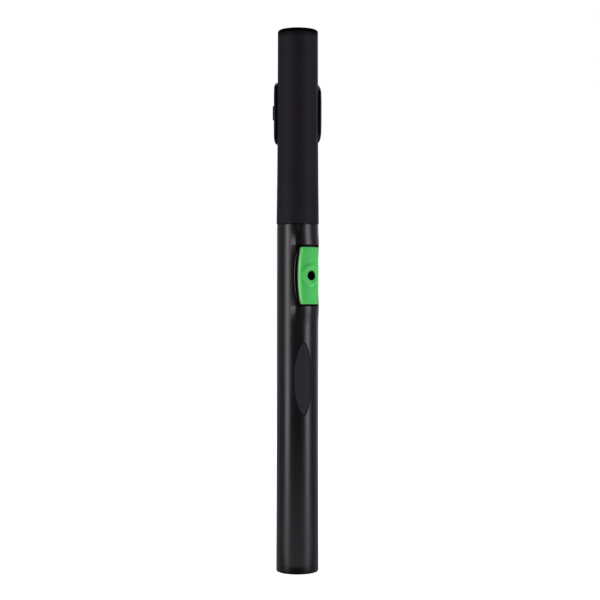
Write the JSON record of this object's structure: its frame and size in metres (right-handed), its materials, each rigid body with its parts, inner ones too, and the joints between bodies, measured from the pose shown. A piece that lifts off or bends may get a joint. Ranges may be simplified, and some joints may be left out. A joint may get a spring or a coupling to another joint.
{
  "type": "fife",
  "caption": "Two-piece transverse student fife: black plastic tube, pull-off head with separate lip plate, green silicone finger and thumb keys with raised rings, oval thumb rest.",
  "frame": {"origin": "on the tube's axis at the open foot, where it stands", "axes": "+Z along the tube from the foot to the crown, +Y towards the lip plate and the finger keys, -Y towards the thumb side"},
  "size_m": [0.0302, 0.0291, 0.33],
  "materials": {
    "body_plastic": "satin",
    "head_plastic": "fine matte",
    "plate_plastic": "gloss",
    "green_silicone": "soft matte",
    "rest_rubber": "fine grain",
    "seal_rubber": "matte"
  },
  "bodies": {
    "body": {"body_tube": "body_plastic", "thumb_rest_pad": "rest_rubber", "thumb_key_frame": "body_plastic", "finger_key_1_frame": "body_plastic", "finger_key_2_frame": "body_plastic", "finger_key_3_frame": "body_plastic", "finger_key_4_frame": "body_plastic", "finger_key_5_frame": "body_plastic", "finger_key_6_frame": "body_plastic", "finger_key_7_frame": "body_plastic"},
    "tenon_rings": {"tenon_ring_lower": "seal_rubber", "tenon_ring_upper": "seal_rubber"},
    "head": {"head_tube": "head_plastic", "stopper_plug": "body_plastic", "stopper_ring_inner": "seal_rubber", "stopper_ring_outer": "seal_rubber", "crown_cap": "head_plastic"},
    "lip_plate": {"lip_plate": "plate_plastic", "lip_plate_seal": "seal_rubber"},
    "thumb_key": {"thumb_key": "green_silicone"},
    "finger_key_1": {"finger_key_1": "green_silicone"},
    "finger_key_2": {"finger_key_2": "green_silicone"},
    "finger_key_3": {"finger_key_3": "green_silicone"},
    "finger_key_4": {"finger_key_4": "green_silicone"},
    "finger_key_5": {"finger_key_5": "green_silicone"},
    "finger_key_6": {"finger_key_6": "green_silicone"},
    "finger_key_7": {"finger_key_7": "green_silicone"}
  },
  "joints": [
    {"name": "head_turn", "type": "hinge", "parent": "body", "child": "tenon_rings", "pos_m": [0, 0, 0.225], "axis": [0, 0, 1], "range_deg": [-180, 180]},
    {"name": "head_pull", "type": "slide", "parent": "tenon_rings", "child": "head", "axis": [0, 0, 1], "range_m": [0, 0.026]},
    {"name": "lip_plate_lift", "type": "slide", "parent": "head", "child": "lip_plate", "axis": [0, 1, 0], "range_m": [0, 0.012]},
    {"name": "thumb_key_press", "type": "slide", "parent": "body", "child": "thumb_key", "axis": [-0.6561, 0.7547, 0], "range_m": [0, 0.00085], "stiffness_N_per_m": 600, "springref_m": -0.0005},
    {"name": "finger_key_1_press", "type": "slide", "parent": "body", "child": "finger_key_1", "axis": [0, -1, 0], "range_m": [0, 0.00085], "stiffness_N_per_m": 600, "springref_m": -0.0005},
    {"name": "finger_key_2_press", "type": "slide", "parent": "body", "child": "finger_key_2", "axis": [0, -1, 0], "range_m": [0, 0.00085], "stiffness_N_per_m": 600, "springref_m": -0.0005},
    {"name": "finger_key_3_press", "type": "slide", "parent": "body", "child": "finger_key_3", "axis": [0, -1, 0], "range_m": [0, 0.00085], "stiffness_N_per_m": 600, "springref_m": -0.0005},
    {"name": "finger_key_4_press", "type": "slide", "parent": "body", "child": "finger_key_4", "axis": [0, -1, 0], "range_m": [0, 0.00085], "stiffness_N_per_m": 600, "springref_m": -0.0005},
    {"name": "finger_key_5_press", "type": "slide", "parent": "body", "child": "finger_key_5", "axis": [0, -1, 0], "range_m": [0, 0.00085], "stiffness_N_per_m": 600, "springref_m": -0.0005},
    {"name": "finger_key_6_press", "type": "slide", "parent": "body", "child": "finger_key_6", "axis": [0, -1, 0], "range_m": [0, 0.00085], "stiffness_N_per_m": 600, "springref_m": -0.0005},
    {"name": "finger_key_7_press", "type": "slide", "parent": "body", "child": "finger_key_7", "axis": [0, -1, 0], "range_m": [0, 0.00085], "stiffness_N_per_m": 600, "springref_m": -0.0005}
  ]
}
